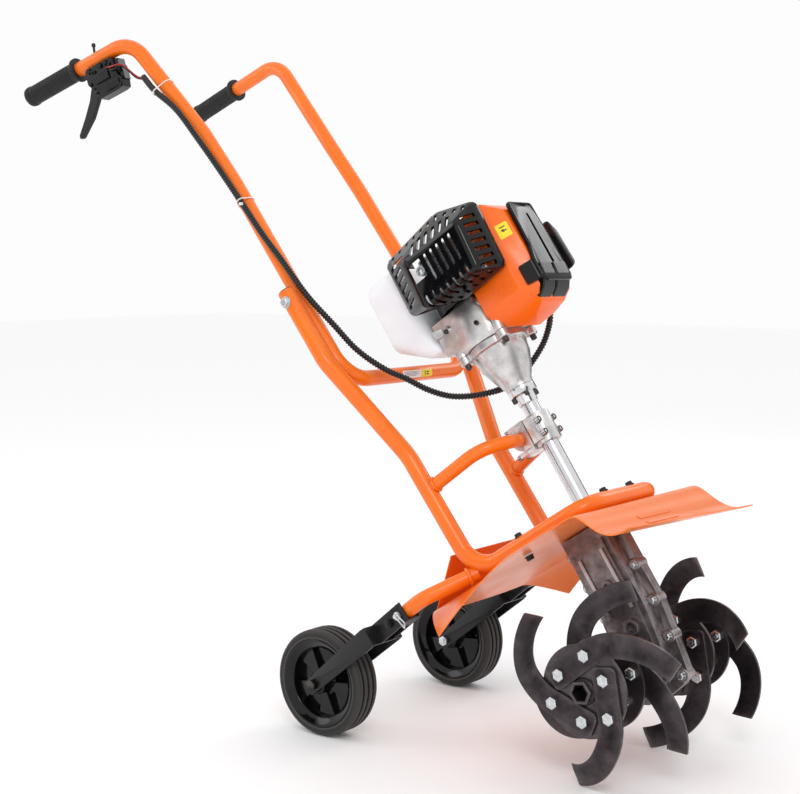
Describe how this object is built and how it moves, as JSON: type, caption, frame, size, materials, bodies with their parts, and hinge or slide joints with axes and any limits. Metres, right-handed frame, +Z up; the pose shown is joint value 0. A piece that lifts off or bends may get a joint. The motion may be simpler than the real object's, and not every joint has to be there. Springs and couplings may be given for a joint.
{
  "type": "walk-behind mini tiller",
  "caption": "Petrol mini tiller: looped tube frame and handlebar, engine above an angled shaft, worm gearbox, curved tines under a fender, small transport wheels.",
  "frame": {"origin": "middle of the bounding box footprint, on the ground under the wheels and the lowest tine tips", "axes": "+X forward from the grips to the tines, +Y to the operator's left, +Z up"},
  "size_m": [1.3132, 0.4652, 1.1614],
  "materials": {
    "frame_paint": "gloss powder coat",
    "fender_paint": "gloss powder coat",
    "cover_shell": "moulded, gloss",
    "grip_rubber": "ribbed",
    "tyre_rubber": "solid, grooved",
    "black_plastic": "moulded, fine grain",
    "black_paint": "satin black",
    "cast_alloy": "die cast, as cast",
    "bright_tube": "drawn, polished",
    "zinc": "zinc plated",
    "dark_casting": "die cast, dark coating",
    "tine_steel": "hardened, dark oxide",
    "tank_shell": "natural, translucent",
    "bronze": "machined"
  },
  "bodies": {
    "frame": {"main_frame": "frame_paint", "handlebar": "frame_paint", "fender_front": "fender_paint", "fender_rear": "fender_paint", "cylinder_cover": "cover_shell", "grip_right": "grip_rubber", "grip_left": "grip_rubber", "throttle_housing": "black_plastic", "plug_cover": "black_plastic", "muffler_guard": "black_plastic", "recoil_starter": "black_plastic", "air_filter": "black_plastic", "control_conduit": "black_plastic", "wheel_bracket_right": "black_paint", "wheel_bracket_left": "black_paint", "clutch_housing": "cast_alloy", "engine_block": "cast_alloy", "carburettor": "cast_alloy", "shaft_clamp_front": "cast_alloy", "shaft_clamp_rear": "cast_alloy", "shaft_clamp_saddle": "cast_alloy", "shaft_tube": "bright_tube", "handlebar_bolt_right": "zinc", "handlebar_bolt_left": "zinc", "wheel_bolt_right": "zinc", "wheel_bolt_left": "zinc", "muffler": "zinc", "gearbox_right": "dark_casting", "gearbox_left": "dark_casting", "fuel_tank": "tank_shell"},
    "rotor": {"tine_axle": "tine_steel", "worm_wheel": "bronze", "tine_disc_right_outer": "tine_steel", "tine_disc_right_inner": "tine_steel", "tine_disc_left_outer": "tine_steel", "tine_disc_left_inner": "tine_steel", "tine_right_outer_1": "tine_steel", "tine_right_outer_2": "tine_steel", "tine_right_outer_3": "tine_steel", "tine_right_inner_1": "tine_steel", "tine_right_inner_2": "tine_steel", "tine_right_inner_3": "tine_steel", "tine_left_outer_1": "tine_steel", "tine_left_outer_2": "tine_steel", "tine_left_outer_3": "tine_steel", "tine_left_inner_1": "tine_steel", "tine_left_inner_2": "tine_steel", "tine_left_inner_3": "tine_steel"},
    "drive": {"drive_shaft": "tine_steel"},
    "crank": {"crankshaft": "tine_steel"},
    "throttle": {"throttle_lever": "black_plastic"},
    "stop": {"stop_switch": "black_plastic"},
    "starter": {"starter_handle": "black_plastic"},
    "cap": {"fuel_cap": "black_plastic"},
    "pin_right": {"lock_pin_right": "zinc"},
    "pin_left": {"lock_pin_left": "zinc"},
    "wheel_right": {"wheel_rim_right": "black_plastic", "wheel_tyre_right": "tyre_rubber"},
    "wheel_left": {"wheel_rim_left": "black_plastic", "wheel_tyre_left": "tyre_rubber"}
  },
  "joints": [
    {"name": "wheel_right_spin", "type": "hinge", "parent": "frame", "child": "wheel_right", "pos_m": [0.03747, -0.182, 0.08783], "axis": [0, 1, 0], "continuous": true},
    {"name": "wheel_left_spin", "type": "hinge", "parent": "frame", "child": "wheel_left", "pos_m": [0.03747, 0.182, 0.08783], "axis": [0, 1, 0], "continuous": true},
    {"name": "lock_pin_right_pull", "type": "slide", "parent": "frame", "child": "pin_right", "axis": [0, -1, 0], "range_m": [0, 0.045]},
    {"name": "lock_pin_left_pull", "type": "slide", "parent": "frame", "child": "pin_left", "axis": [0, 1, 0], "range_m": [0, 0.045]},
    {"name": "throttle_squeeze", "type": "hinge", "parent": "frame", "child": "throttle", "pos_m": [-0.49663, -0.19913, 1.09462], "axis": [-0.0987, 0.9951, 0], "range_deg": [0, 35], "stiffness_Nm_per_rad": 0.4, "springref_deg": -20.05},
    {"name": "stop_switch_slide", "type": "slide", "parent": "frame", "child": "stop", "axis": [0.9406, 0.0933, 0.3265], "range_m": [0, 0.007]},
    {"name": "rotor_spin", "type": "hinge", "parent": "frame", "child": "rotor", "pos_m": [0.51531, 0, 0.15136], "axis": [0, 1, 0], "continuous": true},
    {"name": "drive_spin", "type": "hinge", "parent": "frame", "child": "drive", "pos_m": [0.34847, 0, 0.48633], "axis": [0.5592, 0, -0.829], "continuous": true},
    {"name": "crank_spin", "type": "hinge", "parent": "frame", "child": "crank", "pos_m": [0.34847, 0, 0.48633], "axis": [0.5592, 0, -0.829], "continuous": true},
    {"name": "starter_pull", "type": "slide", "parent": "frame", "child": "starter", "axis": [0, 1, 0], "range_m": [0, 0.085], "stiffness_N_per_m": 60, "springref_m": -0.05},
    {"name": "fuel_cap_turn", "type": "hinge", "parent": "frame", "child": "cap", "pos_m": [0.03973, 0.022, 0.75092], "axis": [-0.5592, 0, 0.829], "continuous": true}
  ],
  "couplings": [
    {"joint": "drive_spin", "follows": "rotor_spin", "ratio": 20}
  ]
}
